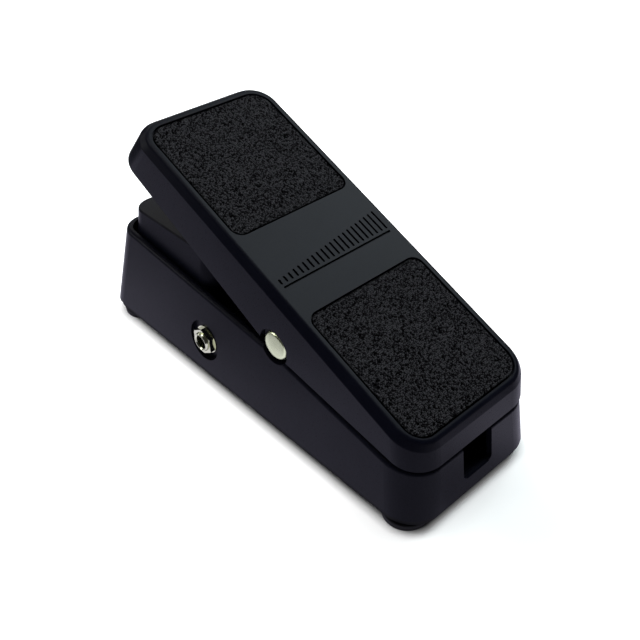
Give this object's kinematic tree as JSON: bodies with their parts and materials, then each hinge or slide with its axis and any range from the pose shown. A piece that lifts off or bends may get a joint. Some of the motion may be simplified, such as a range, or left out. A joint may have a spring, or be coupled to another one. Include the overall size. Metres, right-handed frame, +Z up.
{
  "type": "expression pedal",
  "caption": "Compact rocker expression pedal: a cast treadle with grip pads on a cross shaft above a cast housing, with a side jack socket and a geared potentiometer.",
  "frame": {"origin": "on the floor, below the middle of the housing's bottom outline", "axes": "+X to the player's right, +Y towards the toe, +Z up; heel down at rest"},
  "size_m": [0.0759, 0.199, 0.1063],
  "materials": {
    "charcoal_paint": "charcoal powder coat, fine texture, satin",
    "grip_rubber": "moulded grip rubber, coarse grain, matte",
    "foot_rubber": "moulded rubber, matte",
    "nickel": "nickel plate, bright",
    "cap_nickel": "satin nickel, lightly turned",
    "plate_paint": "black paint, satin",
    "zinc_steel": "zinc plate, satin",
    "black_steel": "black oxide, satin",
    "shaft_steel": "ground steel",
    "bush_nylon": "natural nylon, semi-gloss",
    "bronze": "sintered bronze, satin",
    "spring_steel": "spring steel, satin",
    "gear_acetal": "white acetal, satin",
    "stop_rubber": "soft rubber, matte",
    "pot_can": "tinned steel, satin",
    "tin": "tinned brass, satin",
    "jack_plastic": "black nylon, matte",
    "board_green": "green solder mask, gloss",
    "component_black": "moulded, matte",
    "wire_pvc": "PVC sleeve, satin"
  },
  "bodies": {
    "base": {"base_housing": "charcoal_paint", "base_plate": "plate_paint", "rubber_foot_heel_left": "foot_rubber", "rubber_foot_heel_right": "foot_rubber", "rubber_foot_toe_left": "foot_rubber", "rubber_foot_toe_right": "foot_rubber", "foot_screws": "zinc_steel", "base_plate_screws": "black_steel", "toe_stops": "stop_rubber", "heel_stops": "stop_rubber", "pivot_bush_left": "bronze", "pivot_bush_right": "bronze", "friction_washers": "bush_nylon", "potentiometer_body": "pot_can", "potentiometer_bracket": "zinc_steel", "potentiometer_washer": "zinc_steel", "potentiometer_nut": "nickel", "potentiometer_terminals": "tin", "bracket_screws": "zinc_steel", "jack_body": "jack_plastic", "jack_bushing": "nickel", "jack_washer": "nickel", "jack_nut": "nickel", "jack_contacts": "tin", "jack_wires": "wire_pvc", "potentiometer_wires": "wire_pvc", "circuit_board": "board_green", "board_screws": "zinc_steel", "board_components": "component_black"},
    "treadle": {"treadle_shell": "charcoal_paint", "toe_grip_pad": "grip_rubber", "heel_grip_pad": "grip_rubber", "pivot_shaft": "shaft_steel", "pivot_cap_left": "cap_nickel", "pivot_cap_right": "cap_nickel", "tension_spring_washers": "spring_steel", "gear_sector": "gear_acetal", "gear_sector_screws": "zinc_steel"},
    "pot_rotor": {"potentiometer_shaft": "shaft_steel", "pinion_gear": "gear_acetal"}
  },
  "joints": [
    {"name": "treadle_hinge", "type": "hinge", "parent": "base", "child": "treadle", "pos_m": [0, -0.0208, 0.0455], "axis": [1, 0, 0], "range_deg": [-21.5, 0]},
    {"name": "pot_turn", "type": "hinge", "parent": "base", "child": "pot_rotor", "pos_m": [0, -0.0208, 0.0167], "axis": [1, 0, 0], "range_deg": [-1, 77]}
  ],
  "couplings": [
    {"joint": "pot_turn", "follows": "treadle_hinge", "ratio": -3.5}
  ]
}
